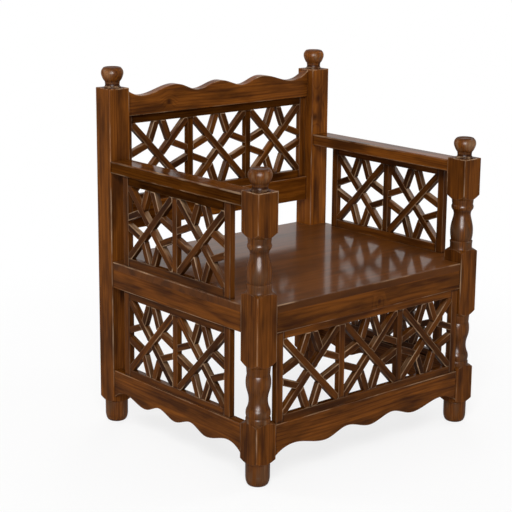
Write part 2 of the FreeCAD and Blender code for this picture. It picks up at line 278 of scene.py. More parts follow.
def a_length(name, description, default, least=0.0002):
    """Setting for a length in metres."""
    return FloatProperty(name=name, description=description, default=default, min=least, unit="LENGTH")


def a_share(name, description, default):
    """Setting for a share from 0 to 1."""
    return FloatProperty(name=name, description=description, default=default, min=0, max=1,
                         subtype="FACTOR")


def an_angle(name, description, degrees):
    """Setting for an angle, its default given in degrees."""
    return FloatProperty(name=name, description=description, default=math.radians(degrees),
                         subtype="ANGLE")


def a_colour(name, description, code):
    """Setting for a colour, its default given as an sRGB hex value."""
    return FloatVectorProperty(name=name, description=description, default=linear(code), size=3,
                               subtype="COLOR", min=0, max=1)


class JoinerySizes(bpy.types.PropertyGroup):
    """Sizes of the roundings and the rubbed strips along the edges, which carry a painted highlight too."""

    board_edge: a_length("Board edges", "Radius of the edges of rails, aprons and back rails", 0.0014)
    panel_edge: a_length("Panel edges", "Radius of the edges of stiles, strips and mullions", 0.0010)
    slat_edge: a_length("Slat edges", "Radius of the edges of the lattice slats", 0.0014)
    seat_edge: a_length("Seat edge", "Radius of the seat board's upper edge", 0.0020)
    arm_edge: a_length("Arm edges", "Radius of the long edges of the arms", 0.0030)
    post_edge: a_length("Post edges", "Radius of the upright edges of the posts", 0.0011)
    # The rubbed strip carries a painted highlight along the edge too
    wear_and_sheen_strip: a_length(
        "Worn strip", "Width of the strip beside an edge where the stain is rubbed thin", 0.0010)
    slat_width: a_length("Slat width", "Width of a lattice slat across its face", 0.0165, 0.005)


class WoodFinish(bpy.types.PropertyGroup):
    """Colours and gloss of the stained and lacquered pine."""

    early_wood: a_colour("Pale rings", "Stained colour of the soft, pale part of a growth ring", "#6f3e10")
    late_wood: a_colour("Dark rings", "Stained colour of the hard, dark part of a growth ring", "#2a1004")
    # This colour also paints shade in turned hollows and where a board's end meets the next piece
    heavy_stain_and_shade: a_colour("Heavy stain", "Colour where the stain has pooled or soaked in deeper", "#200c02")
    # This colour also paints highlights along the edges and a sheen on the slats' upward sides
    wear_and_sheen_colour: a_colour("Worn edges", "Colour along edges where the stain is rubbed thin", "#aa8a6a")
    ring_spacing: a_length("Ring spacing", "Distance from one growth ring to the next", 0.0048, 0.001)
    upright_lacquer: a_share(
        "Lacquer on upright faces", "How much of the upright faces the lacquer covers", 0.20)
    upright_roughness: a_share("Upright roughness", "Roughness of the lacquer on upright faces", 0.36)
    level_lacquer: a_share("Lacquer on level faces", "How much of the level faces the lacquer covers", 0.52)
    level_roughness: a_share("Level roughness", "Roughness of the lacquer on level faces", 0.11)


class StudioSettings(bpy.types.PropertyGroup):
    """Camera, lamps and floor."""

    floor_colour: a_colour("Floor", "Colour of the floor and the backdrop", "#f4f4f4")
    camera_turn: an_angle("Camera turn", "How far the camera stands round to the left of the front", 40.64)
    camera_rise: an_angle("Camera rise", "Angle at which the camera looks down", 12.954)
    camera_roll: an_angle("Camera roll", "Tilt of the picture", 0.461)
    camera_place: FloatVectorProperty(
        name="Camera place", description="Where the camera stands",
        default=(-2.3764, -2.6455, 1.3139), size=3, subtype="XYZ", unit="LENGTH")
    lens: FloatProperty(
        name="Lens", description="Focal length on a sensor 36 mm wide, in millimetres",
        default=103.16, min=10)
    lamp_light: FloatProperty(
        name="Lamps", description="Strength of all lamps together, where 1 is the level of the photograph",
        default=1.0, min=0)
    fill_light: FloatProperty(
        name="Fill", description="Strength of the even light from all round",
        default=0.25, min=0)


# Curves

def smooth_through(points, count):
    """Smooth curve through points: a cubic spline, its parameter being the length of the straight runs.

    At either end it starts in the direction of the cubic through the four nearest points.
    """
    points = np.asarray(points, float)
    steps = np.diff(points, axis=0)
    run = np.linalg.norm(steps, axis=1)
    knots = np.concatenate([[0.0], np.cumsum(run)])
    slope = steps / run[:, None]
    first = np.polyfit(knots[:4], points[:4], 3)[2]
    last = -np.polyfit(knots[-1] - knots[-4:], points[-4:], 3)[2]
    size = len(points)
    matrix = np.zeros((size, size))
    inner = np.arange(1, size - 1)
    matrix[inner, inner - 1] = run[:-1]
    matrix[inner, inner] = 2 * (run[:-1] + run[1:])
    matrix[inner, inner + 1] = run[1:]
    matrix[0, :2] = 2 * run[0], run[0]
    matrix[-1, -2:] = run[-1], 2 * run[-1]
    change = np.concatenate([[slope[0] - first], np.diff(slope, axis=0), [last - slope[-1]]])
    bend = np.linalg.solve(matrix, 6 * change)
    place = np.linspace(0, knots[-1], count)
    part = np.clip(np.searchsorted(knots, place, side="right") - 1, 0, size - 2)
    before = ((place - knots[part]) / run[part])[:, None]
    after = 1 - before
    spread = (run[part] ** 2)[:, None] / 6
    return (after * points[part] + before * points[part + 1]
            + spread * ((after ** 3 - after) * bend[part] + (before ** 3 - before) * bend[part + 1]))


def arc_through(points, count):
    """Arc of the circle through three points: middle plus radius times the direction at an even angle."""
    a, b, c = np.asarray(points, float)
    matrix = 2 * np.array([b - a, c - a])
    middle = np.linalg.solve(matrix, np.array([b @ b - a @ a, c @ c - a @ a]))
    angles = np.unwrap([math.atan2(*(point - middle)[::-1]) for point in (a, b, c)])
    angle = np.linspace(angles[0], angles[2], count)
    radius = np.linalg.norm(a - middle)
    return middle + radius * np.stack([np.cos(angle), np.sin(angle)], axis=1)


def stretch_path(points, spacing):
    """Points along one stretch of a turned outline: a line, an arc or a smooth curve.

    The ends are kept apart from the rest by a short step, so that the crease between two stretches
    stays crisp.
    """
    points = np.asarray(points, float)
    length = np.linalg.norm(np.diff(points, axis=0), axis=1).sum()
    count = max(3, int(math.ceil(length / spacing)) + 1)
    if len(points) == 2:
        share = np.linspace(0, 1, count)[:, None]
        path = points[0] * (1 - share) + points[1] * share
    elif len(points) == 3:
        path = arc_through(points, count)
    else:
        path = smooth_through(points, count)
    close = min(0.3, 0.0003 / max(length / (count - 1), 1e-9))
    start = path[0] * (1 - close) + path[1] * close
    end = path[-1] * (1 - close) + path[-2] * close
    return np.concatenate([[path[0], start], path[1:-1], [end, path[-1]]])


# Outlines of boards. An outline is a dict of arrays, one row for each point: the middle of its small
# arc, its outward normal, the arc's radius, the mitre along which a corner moves inwards, how much it is
# rubbed and lit with a painted highlight, and how much the rim is eased there, from 0 for an edge glued
# flush to 1 for a free one.

def corner_outline(corners, radius, band=0.0, steps=3, ease=1.0):
    """Closed outline of a polygon, drawn anticlockwise, with every corner turned into a small arc.

    The mitre is the sum of the two sides' normals over one plus their dot product. The arc's middle is
    the corner less radius times the mitre, and its normal turns evenly from one side's to the next's.
    A corner that points inwards takes the same arc with its radius negative. With a band, one more
    unworn point lies on the side at that distance before and after each arc. Radius and ease may be
    given for each corner.
    """
    corners = np.asarray(corners, float)
    radius = np.broadcast_to(radius, len(corners))
    ease = np.broadcast_to(ease, len(corners))
    side = np.roll(corners, -1, axis=0) - corners
    side /= np.linalg.norm(side, axis=1, keepdims=True)
    after = np.stack([side[:, 1], -side[:, 0]], axis=1)
    before = np.roll(after, 1, axis=0)
    dot = (before * after).sum(1)
    turn = np.arctan2(before[:, 0] * after[:, 1] - before[:, 1] * after[:, 0], dot)
    mitre = (before + after) / (1 + dot)[:, None]
    signed = radius * np.sign(turn)
    middle = corners - signed[:, None] * mitre
    angle = turn[:, None] * np.linspace(0, 1, steps)
    cosine, sine = np.cos(angle), np.sin(angle)
    normal = np.stack([before[:, :1] * cosine - before[:, 1:] * sine,
                       before[:, :1] * sine + before[:, 1:] * cosine], axis=2)
    outline = {
        "middle": np.repeat(middle[:, None], steps, axis=1),
        "normal": normal,
        "radius": np.repeat(signed[:, None], steps, axis=1),
        "mitre": np.repeat(mitre[:, None], steps, axis=1),
        "ease": np.repeat(ease[:, None], steps, axis=1),
        "wear": np.repeat(ease[:, None] * (band > 0), steps, axis=1),
    }
    if band > 0:
        arriving = np.roll(side, 1, axis=0)
        start = middle + signed[:, None] * before - band * arriving
        end = middle + signed[:, None] * after + band * side
        flat = np.zeros((len(corners), 1))
        extra = [(start, before), (end, after)]
        for key, pair in (("middle", 0), ("normal", 1), ("mitre", 1)):
            outline[key] = np.concatenate(
                [extra[0][pair][:, None], outline[key], extra[1][pair][:, None]], axis=1)
        for key, ends in (("radius", flat), ("wear", flat), ("ease", ease[:, None])):
            outline[key] = np.concatenate([ends, outline[key], ends], axis=1)
    return {key: value.reshape(-1, *value.shape[2:]) for key, value in outline.items()}


def curve_outline(points):
    """Open run of an outline along a smooth curve, its normal to the right of the way it runs."""
    along = np.gradient(points, axis=0)
    along /= np.linalg.norm(along, axis=1, keepdims=True)
    normal = np.stack([along[:, 1], -along[:, 0]], axis=1)
    none = np.zeros(len(points))
    return {"middle": points, "normal": normal, "radius": none, "mitre": normal, "wear": none,
            "ease": none + 1}


def joined_outline(*runs):
    """One closed outline from several runs."""
    return {key: np.concatenate([run[key] for run in runs]) for key in runs[0]}


def rectangle(low, high):
    """Corners of an upright rectangle, anticlockwise."""
    return [(low[0], low[1]), (high[0], low[1]), (high[0], high[1]), (low[0], high[1])]


def wavy_outline(half_length, places, distances, straight, edge):
    """Outline of a board with one wavy edge: a smooth curve through the turning points.

    The distances count from the straight edge, downwards where they are negative. The outline runs
    anticlockwise, so a wave along the top is taken from right to left.
    """
    right = np.stack([np.array(places) * half_length, straight + np.array(distances)], axis=1)
    left = right[:0:-1] * (-1, 1)
    wave = smooth_through(np.concatenate([left, right]), 150)
    ends = [(half_length, straight), (-half_length, straight)]
    if distances[0] > 0:
        wave, ends = wave[::-1], ends[::-1]
    corners = corner_outline([wave[0], wave[-1]] + ends, edge)
    straight_corners = {key: value[len(value) // 2:] for key, value in corners.items()}
    return joined_outline(curve_outline(wave), straight_corners)


def corners_between(lines):
    """Corners of a convex polygon from its sides, each (normal x, normal y, distance from the origin).

    The sides are sorted by the angle of their normals, and each corner is where one meets the next.
    """
    lines = np.asarray(lines, float)
    lines = lines[np.argsort(np.arctan2(lines[:, 1], lines[:, 0]))]
    a, b, c = lines.T
    p, q, r = np.roll(lines, -1, axis=0).T
    scale = a * q - b * p
    return np.stack([(c * q - b * r) / scale, (a * r - c * p) / scale], axis=1)


# Shells. A shell is a dict of arrays: points, normals, and how much each point is rubbed and lit with a
# painted highlight, with its four-sided faces and its caps. To these with_grain adds the grain, a place in
# the timber the shell was cut from, along the grain and then across it twice; the tone, which carries
# painted light and shade as well; the ends, how far along a point lies from the middle, and half the
# length; and the stain and shade, how much stain lies in a knob's dish and how much painted shade in a
# turned hollow.

def grid_shell(points, normals, wear):
    """Shell of a grid of points, row 0 being the top one, whose columns close into a ring."""
    rows, columns = wear.shape
    ring = np.arange(columns)
    row, column = np.meshgrid(np.arange(rows - 1), ring, indexing="ij")
    following = (column + 1) % columns
    faces = np.stack([(row + 1) * columns + column, (row + 1) * columns + following,
                      row * columns + following, row * columns + column], axis=-1)
    return {
        "points": points.reshape(-1, 3),
        "normals": normals.reshape(-1, 3),
        "wear": wear.reshape(-1),
        "faces": faces.reshape(-1, 4),
        "caps": [ring, ((rows - 1) * columns + ring)[::-1]],
    }


def board_shell(outline, low, high, edge, along, seed, band=0.0, lower_edge=None, side_tone=1.0):
    """Board: a closed outline carried through its thickness, with both rims rounded.

    Over a rim the tilt t runs from 90 degrees on the face to 0 on the side. There the outline is moved
    inwards by edge (1 - cos t) and lies edge (1 - sin t) inside the face, and the normal is cos t times
    the outline's plus sin t times the face's. A band adds one unworn row beyond either end of the arc.
    The tone is 1 on the faces and side_tone on the sides, which draws the sides darker.
    """
    lower_edge = edge if lower_edge is None else lower_edge
    tilt = np.radians([90.0, 90.0, 45.0, 0.0, 0.0])
    beyond = np.array([max(band, 0.0003), 0.0, 0.0, 0.0, 0.0])
    below = beyond[::-1]
    row_wear_and_sheen = np.array([0.0, 0.8, 1.0, 0.8, 0.0])
    ease = outline["ease"][None]
    insets, heights, rises = [], [], []
    for face, radius, turn in ((high, edge, 1.0), (low, lower_edge, -1.0)):
        insets.append(radius * (1 - np.cos(tilt)) + beyond)
        heights.append((np.full(5, face), -turn * (radius * (1 - np.sin(tilt)) + below)))
        rises.append(turn * np.sin(tilt))
    inset = np.concatenate([insets[0], insets[1][::-1]])[:, None] * ease
    face, drop = (np.concatenate([heights[0][part], heights[1][part][::-1]])[:, None] for part in (0, 1))
    height = face + drop * ease
    rise = np.concatenate([rises[0], rises[1][::-1]])[:, None]
    level = np.sqrt(1 - rise ** 2)
    radius = outline["radius"][None]
    arc = radius > 0
    out = np.where(arc, np.maximum(radius - inset, 0.02 * radius), radius - inset)
    back = np.where(arc, np.maximum(inset - radius, 0), 0.0)
    plan = (outline["middle"][None] + out[..., None] * outline["normal"][None]
            - back[..., None] * outline["mitre"][None])
    rows, columns = plan.shape[:2]
    points = np.concatenate([plan, height[..., None]], axis=2)
    normals = np.concatenate([level[..., None] * outline["normal"][None],
                              np.broadcast_to(rise[..., None], (rows, columns, 1))], axis=2)
    # Rims rubbed and lit with a painted highlight
    wear = np.concatenate([row_wear_and_sheen, row_wear_and_sheen[::-1] * (lower_edge >= edge)])[:, None] * ease
    wear = np.maximum(wear, 0.9 * outline["wear"][None])
    shell = with_grain(grid_shell(points, normals, wear), (along[0], along[1], 0.0), seed)
    shell["tone"] = shell["tone"] * np.where(np.abs(shell["normals"][:, 2]) > 0.5, 1.0, side_tone)
    return shell


def with_grain(shell, along, seed):
    """Shell with its place in the timber: along the grain, across it in the plane, and through it.

    The timber's middle lies a few centimetres below the face, so that rings reach the face at a slant.
    The draws depend on the seed alone, a piece's name, and a tone that isn't in the table is one of them.
    """
    chance = np.random.default_rng(zlib.crc32(seed.encode()))
    along = np.array(along, float)
    along /= np.linalg.norm(along)
    third = np.array([0.0, 0.0, 1.0]) if abs(along[2]) < 0.5 else np.array([0.0, 1.0, 0.0])
    across = np.cross(third, along)
    axes = np.stack([along, across, third])
    centre = shell["points"].mean(0)
    shift = np.array([chance.uniform(0, 8), chance.uniform(-0.02, 0.02), chance.uniform(0.03, 0.07)])
    shell["grain"] = (shell["points"] - centre) @ axes.T + shift
    shell["tone"] = np.full(len(shell["points"]), TONES.get(seed, chance.uniform(0.86, 1.14)))
    run = (shell["points"] - centre) @ along
    middle = (run.max() + run.min()) / 2
    shell["ends"] = np.stack([run - middle, np.full(len(run), run.max() - middle), 0 * run], axis=1)
    shell["stain_and_shade"] = np.zeros(len(run))
    return shell


def standing(shell, view):
    """Shell set upright: across the chair its thickness runs to the front, and along it to the right."""
    for key in ("points", "normals"):
        u, v, w = shell[key].T
        shell[key] = np.stack([u, -w, v] if view == "across" else [w, u, v], axis=1)
    return shell


def standing_board(outline, view, box, edge, along, seed, band, side_tone=1.0):
    """Board with its outline drawn in its view and its thickness that of a box."""
    low, high = box
    back, face = (-high.y, -low.y) if view == "across" else (low.x, high.x)
    return standing(board_shell(outline, back, face, edge, along, seed, band, side_tone=side_tone), view)


def make_piece(name, shells, slot, *nodes):
    """One mesh from its shells, riding on the chair and standing for its nodes."""
    start = 0
    faces = []
    for shell in shells:
        faces += (shell["faces"] + start).tolist()
        faces += [(cap + start).tolist() for cap in shell["caps"]]
        start += len(shell["points"])
    joined = {key: np.concatenate([shell[key] for shell in shells])
              for key in ("points", "normals", "wear", "grain", "tone", "ends", "stain_and_shade")}
    joined["level"] = np.concatenate([shell.get("level", np.clip(shell["normals"][:, 2], 0, 1))
                                      for shell in shells])
    if nodes[0] in SHADED:
        joined["level"] -= SHADED_DROP * (joined["level"] < UPRIGHT_LIMIT)
    mesh = bpy.data.meshes.new(name)
    mesh.from_pydata(joined["points"].tolist(), [], faces)
    mesh.polygons.foreach_set("use_smooth", np.ones(len(faces), bool))
    for key, kind, field in (("wear", "FLOAT", "value"), ("tone", "FLOAT", "value"),
                             ("stain_and_shade", "FLOAT", "value"), ("level", "FLOAT", "value"),
                             ("grain", "FLOAT_VECTOR", "vector"), ("ends", "FLOAT_VECTOR", "vector")):
        layer = mesh.attributes.new(key, kind, "POINT")
        layer.data.foreach_set(field, joined[key].astype(np.float32).ravel())
    mesh.normals_split_custom_set_from_vertices(joined["normals"].tolist())
    mesh.materials.append(finish_for(slot))
    piece = bpy.data.objects.new(name, mesh)
    bpy.context.scene.collection.objects.link(piece)
    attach(piece, "root")
    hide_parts(*nodes)
    return piece


# Materials

def add_node(tree, kind, inputs=(), **settings):
    """New shader node with its settings, and its inputs in order or by name.

    Each input is a value, an output that feeds it, or a node, which stands for its first output in use.
    """
    made = tree.nodes.new("ShaderNode" + kind)
    for name, value in settings.items():
        setattr(made, name, value)
    for name, value in inputs.items() if isinstance(inputs, dict) else enumerate(inputs):
        if isinstance(value, bpy.types.Node):
            value = next(output for output in value.outputs if output.enabled)
        if isinstance(value, bpy.types.NodeSocket):
            tree.links.new(value, made.inputs[name])
        else:
            made.inputs[name].default_value = value
    return made


def empty_tree(owner):
    """Node tree of a material or a world, with nothing in it."""
    owner.use_nodes = True
    owner.node_tree.nodes.clear()
    return owner.node_tree


def finish_for(slot):
    """The material of a slot, made when it is first asked for."""
    name = "stained_pine_" + slot
    return bpy.data.materials.get(name) or stained_pine(name, slot == "seat_wood")


def stained_pine(name, seat):
    """Pine, planed or turned, wiped with walnut stain and brushed with clear lacquer.

    The stain turns soft pine dark brown but leaves its rings: pale bands with thin dark lines, running
    straight along quarter-sawn faces and in arches on flat-sawn ones. It sinks in unevenly, so the brown
    drifts from patch to patch, and it is rubbed thin on the edges. Painted into the colour as well are
    shade in turned hollows and at joints, light and shade on some faces, highlights along the edges and a
    sheen on the slats' upward sides. The lacquer gives a clear gloss that ripples a little with the brush.
    """
    finish = bpy.context.scene.chair_finish
    figure = SEAT_FIGURE if seat else WOOD_FIGURE
    material = bpy.data.materials.new(name)
    tree = empty_tree(material)
    grain, ends = (add_node(tree, "Attribute", attribute_name=layer).outputs["Vector"]
                   for layer in ("grain", "ends"))
    wear, tone, stain_and_shade, level = (add_node(tree, "Attribute", attribute_name=layer).outputs["Fac"]
                               for layer in ("wear", "tone", "stain_and_shade", "level"))
    place = add_node(tree, "TexCoord").outputs["Object"]
    # Noises, each stretched along the grain
    noise = {}
    for layer, (along, across, detail, roughness) in (SEAT_NOISE if seat else WOOD_NOISE).items():
        drawn = add_node(tree, "VectorMath", (grain, (along, across, across)), operation="MULTIPLY")
        noise[layer] = add_node(tree, "TexNoise", {"Vector": drawn, "Scale": 1.0, "Detail": detail,
                                                   "Roughness": roughness})

    # Distance from the middle of the tree, bent by up to 1 cm
    centred = add_node(tree, "VectorMath", (noise["bends"].outputs["Color"], (0.5, 0.5, 0.5)),
                       operation="SUBTRACT")
    spread = add_node(tree, "VectorMath", (centred, (0.0, 0.020, 0.020)), operation="MULTIPLY")
    bent = add_node(tree, "VectorMath", (grain, spread), operation="ADD")
    section = add_node(tree, "VectorMath", (bent, (0.0, 1.0, 1.0)), operation="MULTIPLY")
    reach = add_node(tree, "VectorMath", (section,), operation="LENGTH")

    # Knots push the rings 8 mm aside and darken the wood
    cores = []
    for centre, half_length in KNOTS:
        offset = add_node(tree, "VectorMath", (place, centre), operation="SUBTRACT")
        away = add_node(tree, "VectorMath", (offset,), operation="LENGTH")
        near = add_node(tree, "MapRange", (away, 0.0, 3.2 * half_length, 1.0, 0.0),
                        interpolation_type="SMOOTHERSTEP")
        reach = add_node(tree, "Math", (near, 0.008, reach), operation="MULTIPLY_ADD")
        cores.append(add_node(tree, "MapRange", (away, 0.0, 1.5 * half_length, 0.9, 0.0),
                              interpolation_type="SMOOTHSTEP"))
    knot_dark = cores[0]
    for core in cores[1:]:
        knot_dark = add_node(tree, "Math", (knot_dark, core), operation="MAXIMUM")

    # Growth rings
    spacing = finish.ring_spacing * figure["widening"]
    ring = add_node(tree, "Math", (reach, 1 / spacing), operation="MULTIPLY")
    cycle = add_node(tree, "Math", (ring,), operation="FRACT")
    rings = add_node(tree, "ValToRGB", (cycle,))
    rings.color_ramp.interpolation = "EASE"
    for position, dark in RING_DARKNESS[1:-1]:
        rings.color_ramp.elements.new(position)
    for element, (position, dark) in zip(rings.color_ramp.elements, RING_DARKNESS):
        element.color = (dark, dark, dark, 1)

    # Share of dark wood: rings, streaks and fibres added up
    clear = add_node(tree, "MapRange", (noise["streaks"], 0.32, 0.68, 0.0, figure["streaks"]))
    share = add_node(tree, "Math", (rings, figure["rings"], clear), operation="MULTIPLY_ADD")
    share = add_node(tree, "Math", (noise["fibres"], 0.25, share), operation="MULTIPLY_ADD")
    share = add_node(tree, "Math", (share, figure["base"]), operation="ADD", use_clamp=True)
    wood = add_node(tree, "Mix", {"Factor": share, "A": (*finish.early_wood, 1),
                                  "B": (*finish.late_wood, 1)}, data_type="RGBA")

    # Heavy stain in patches, in knots and in a knob's dish, and painted shade in turned hollows and where a
    # board's end meets the next piece, all drawn in the heavy stain colour
    parted = add_node(tree, "SeparateXYZ", (ends,))
    size = add_node(tree, "Math", (parted.outputs[0],), operation="ABSOLUTE")
    gap = add_node(tree, "Math", (parted.outputs[1], size), operation="SUBTRACT")
    # Painted shade within 9 mm of where a board's end meets the next piece
    corner = add_node(tree, "MapRange", (gap, 0.001, 0.009, 0.75, 0.0), interpolation_type="SMOOTHSTEP")
    deeper = add_node(tree, "MapRange", (noise["patches"], 0.42, 0.66, 0.0, figure["patches"]))
    for soaked in (knot_dark, corner, stain_and_shade):
        deeper = add_node(tree, "Math", (deeper, soaked), operation="MAXIMUM")
    stained_and_shaded = add_node(tree, "Mix", {"Factor": deeper, "A": wood, "B": (*finish.heavy_stain_and_shade, 1)},
                       data_type="RGBA")

    # Each board takes the stain a little differently, and its tone carries painted light and shade as well
    toned = add_node(tree, "VectorMath", {0: stained_and_shaded, "Scale": tone}, operation="SCALE")

    # Edges rubbed thin and lit with a painted highlight, and the slats' upward sides given a painted sheen,
    # more in some places than in others
    rubbed = add_node(tree, "MapRange", (noise["rub_and_sheen"], 0.42, 0.66, 0.02, 0.85))
    wear_and_sheen_share = add_node(tree, "Math", (wear, rubbed), operation="MULTIPLY")
    colour = add_node(tree, "Mix", {"Factor": wear_and_sheen_share, "A": toned, "B": (*finish.wear_and_sheen_colour, 1)},
                      data_type="RGBA")

    # The lacquer fills the pores but not wholly: dark rings stand about 0.04 mm proud
    relief = add_node(tree, "Math", (rings, 0.6), operation="MULTIPLY")
    relief = add_node(tree, "Math", (noise["fibres"], 0.4, relief), operation="MULTIPLY_ADD")
    wood_bump = add_node(tree, "Bump", {"Strength": 0.35, "Distance": 0.0002, "Height": relief})
    ripple = add_node(tree, "TexNoise", {"Vector": place, "Scale": 35.0, "Detail": 2.0})
    lacquer_bump = add_node(tree, "Bump", {"Strength": figure["ripple"], "Distance": 0.0008,
                                           "Height": ripple})

    # Lacquer runs off upright faces and lies thicker and smoother on level ones
    cover = add_node(tree, "MapRange", (level, 0.0, 1.0, finish.upright_lacquer, finish.level_lacquer),
                     clamp=False)
    matt = add_node(tree, "MapRange", (level, 0.0, 1.0, finish.upright_roughness, finish.level_roughness))
    shader = add_node(tree, "BsdfPrincipled", {
        "Base Color": colour, "Roughness": 0.5, "Specular IOR Level": figure["gloss"], "IOR": 1.5,
        "Coat Weight": cover, "Coat Roughness": matt, "Coat IOR": 1.3,
        "Normal": wood_bump, "Coat Normal": lacquer_bump})
    add_node(tree, "OutputMaterial", {"Surface": shader})
    return material


def seen_share(tree):
    """1 for what the camera sees, itself or in gloss or through glass, and 0 for light on surfaces."""
    path = add_node(tree, "LightPath")
    seen = add_node(tree, "Math", (path.outputs["Is Camera Ray"], path.outputs["Is Glossy Ray"]),
                    operation="MAXIMUM")
    return add_node(tree, "Math", (seen, path.outputs["Is Transmission Ray"]), operation="MAXIMUM")


def studio_material(name, colour):
    """Matt painted board: an even pale surface with no gloss.

    Near the chair the camera sees eight tenths of it as plain white, so that the shadow stays as a faint
    grey, and further off all of it, so that it runs into the white backdrop.
    """
    material = bpy.data.materials.new(name)
    tree = empty_tree(material)
    lit = add_node(tree, "BsdfDiffuse", {"Color": (*colour, 1)})
    white = add_node(tree, "Emission", {"Color": (1, 1, 1, 1), "Strength": 1.0})
    place = add_node(tree, "TexCoord").outputs["Object"]
    away = add_node(tree, "VectorMath", (place,), operation="LENGTH")
    plain = add_node(tree, "MapRange", (away, 0.8, 1.8, 0.8, 1.0), interpolation_type="SMOOTHSTEP")
    share = add_node(tree, "Math", (seen_share(tree), plain), operation="MULTIPLY")
    mixed = add_node(tree, "MixShader", (share, lit, white))
    add_node(tree, "OutputMaterial", {"Surface": mixed})
    return material


# Pieces

def post_path(blocks, turnings, edge):
    """Rows of a post from the floor up: turned radius, height, how far the flat sides move in, and how much
    they are rubbed and lit with a painted highlight.

    The turned radius is that of the foot, the shoulders, the square blocks, where it lies 1 mm past the
    corners, the turned stretches and the knob. At the top of the last block the sides move in by a
    quarter circle.
    """
    corner = HALF_SIDE * math.sqrt(2.0) + 0.001

    def placed(outline, low, high):
        return [[(radius * HALF_SIDE, low + height * (high - low)) for radius, height in stretch]
                for stretch in outline]

    stretches = placed(FOOT, 0.0, FOOT_HEIGHT)
    start = FOOT_HEIGHT + FOOT_SHOULDER
    for index, turning in enumerate(turnings):
        end = blocks[index][1]
        following = blocks[index + 1][0]
        above = placed(turning, end + SHOULDER_SLOPE, following - SHOULDER_DROP)
        stretches.append([stretches[-1][-1], (corner, start)])
        stretches.append([(corner, start), (corner, end - SHOULDER_SLOPE)])
        stretches.append([(corner, end - SHOULDER_SLOPE), above[0][0]])
        stretches += above
        start = following + SHOULDER_RISE
    stretches.append([stretches[-1][-1], (corner, start)])
    parts = []
    for stretch in stretches:
        if stretch[0][0] == stretch[-1][0]:
            step = STRAIGHT_STEP
        else:
            step = SHOULDER_STEP if max(stretch[0][0], stretch[-1][0]) >= corner else TURNED_STEP
        parts.append(stretch_path(stretch, step))
    path = np.concatenate(parts)

    top = blocks[-1][1]
    tilt = np.radians(np.linspace(0, 90, 5))
    rim = np.stack([np.full(5, corner), top - edge * (1 - np.sin(tilt))], axis=1)
    below = np.array([[corner, top - edge - 0.0014]])
    ledge_radius = np.linspace(corner, KNOB[0][0][0] * HALF_SIDE, 16)[1:]
    ledge = np.stack([ledge_radius, np.full(15, top)], axis=1)
    knob = np.concatenate([stretch_path(part, KNOB_STEP) for part in placed(KNOB, top, top + KNOB_HEIGHT)])
    knob[:, 1] = np.minimum(knob[:, 1], top + KNOB_HEIGHT)
    unworn = np.zeros(len(path) + 1)
    bare = np.zeros(len(knob))
    inset = np.concatenate([unworn, edge * (1 - np.cos(tilt)), np.full(15, edge), bare])
    wear = np.concatenate([unworn, np.ones(5), [0.5], np.full(14, 0.3), bare])
    return np.concatenate([path, below, rim, ledge, knob]), inset, wear


def post_columns(edge):
    """Angles round a post, close together at the corners, and the square timber's distance at each.

    The timber's outline is a square with corner arcs: its distance along a direction is half the side
    over the direction's greater share, or where the arc of the corner is nearer, the root of its circle.
    The third result is how much a point is rubbed and lit with a painted highlight, which fades out over a
    strip beside the corner.
    """
    strip = 0.0016
    bend = math.atan2(HALF_SIDE - edge, HALF_SIDE)
    before = math.atan2(HALF_SIDE - edge - strip, HALF_SIDE)
    flat = np.linspace(0, before, 15)
    eighth = np.concatenate([flat, [bend], np.linspace(bend, math.pi / 4, 4)[1:]])
    quarter = np.concatenate([eighth, math.pi / 2 - eighth[-2:0:-1]])
    angle = np.concatenate([quarter + turn * math.pi / 2 for turn in range(4)])
    x, y = np.abs(np.cos(angle)), np.abs(np.sin(angle))
    side = HALF_SIDE / np.maximum(x, y)
    reach = HALF_SIDE - edge
    along = (x + y) * reach
    root = np.sqrt(np.maximum(along ** 2 - 2 * reach ** 2 + edge ** 2, 0))
    past = np.minimum(x, y) * side
    distance = np.where(past > reach, along + root, side)
    return angle, distance, np.clip((past - (reach - strip)) / strip, 0, 1)


